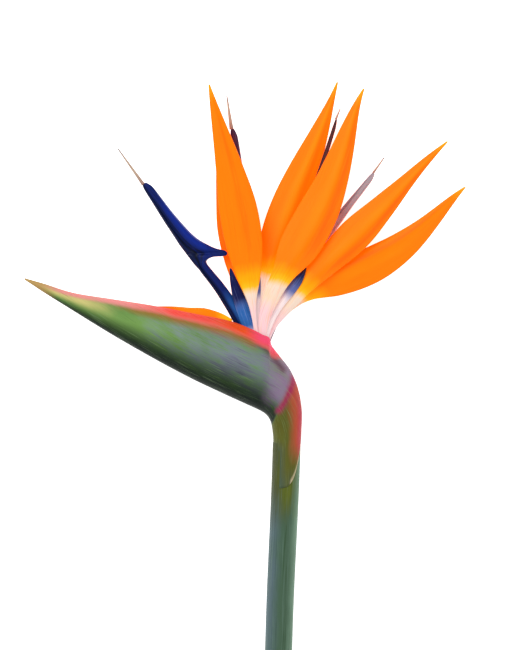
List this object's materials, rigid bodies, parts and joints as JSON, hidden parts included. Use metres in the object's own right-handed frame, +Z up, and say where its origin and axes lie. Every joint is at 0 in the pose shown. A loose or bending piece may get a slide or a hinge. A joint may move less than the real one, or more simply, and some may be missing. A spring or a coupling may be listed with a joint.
{
  "type": "bird of paradise flower",
  "caption": "Cut bird of paradise bloom lying on its side: round stem, beaked spathe, fanned orange sepals and arrow-shaped blue petals.",
  "frame": {"origin": "under the middle of the flower's bounding box, on the surface that it lies on", "axes": "+Z up from the surface, +Y from the stem's cut end towards the fan of sepals, -X along the spathe towards its beak"},
  "size_m": [0.22, 0.3034, 0.0229],
  "materials": {
    "petal_blue": "satin",
    "base_pale": "satin",
    "sepal_orange": "satin",
    "stigma_tan": "dry",
    "petal_violet": "matt",
    "petal_brown": "matt",
    "petal_withered": "matt, dry",
    "bud_orange": "satin",
    "spathe_green": "waxy, red and pink along the slit",
    "stem_green": "waxy, with a pale bloom"
  },
  "bodies": {
    "root": {"floret_a_arrow": "petal_blue", "floret_a_base": "base_pale", "floret_a_hood": "petal_blue", "floret_a_sepal_back": "sepal_orange", "floret_a_sepal_front": "sepal_orange", "floret_a_sepal_middle": "sepal_orange", "floret_a_stigma": "stigma_tan", "floret_b_arrow": "petal_violet", "floret_b_base": "base_pale", "floret_b_hood": "petal_blue", "floret_b_sepal_back": "sepal_orange", "floret_b_sepal_front": "sepal_orange", "floret_b_sepal_middle": "sepal_orange", "floret_b_stigma": "stigma_tan", "floret_c_arrow": "petal_brown", "floret_c_base": "base_pale", "floret_c_hood": "petal_blue", "floret_c_sepal_back": "sepal_orange", "floret_c_sepal_front": "sepal_orange", "floret_c_sepal_middle": "sepal_orange", "floret_c_stigma": "stigma_tan", "floret_d_arrow": "petal_withered", "floret_d_base": "base_pale", "floret_d_stigma": "stigma_tan", "next_bud": "bud_orange", "spathe": "spathe_green", "stem": "stem_green"}
  },
  "joints": []
}
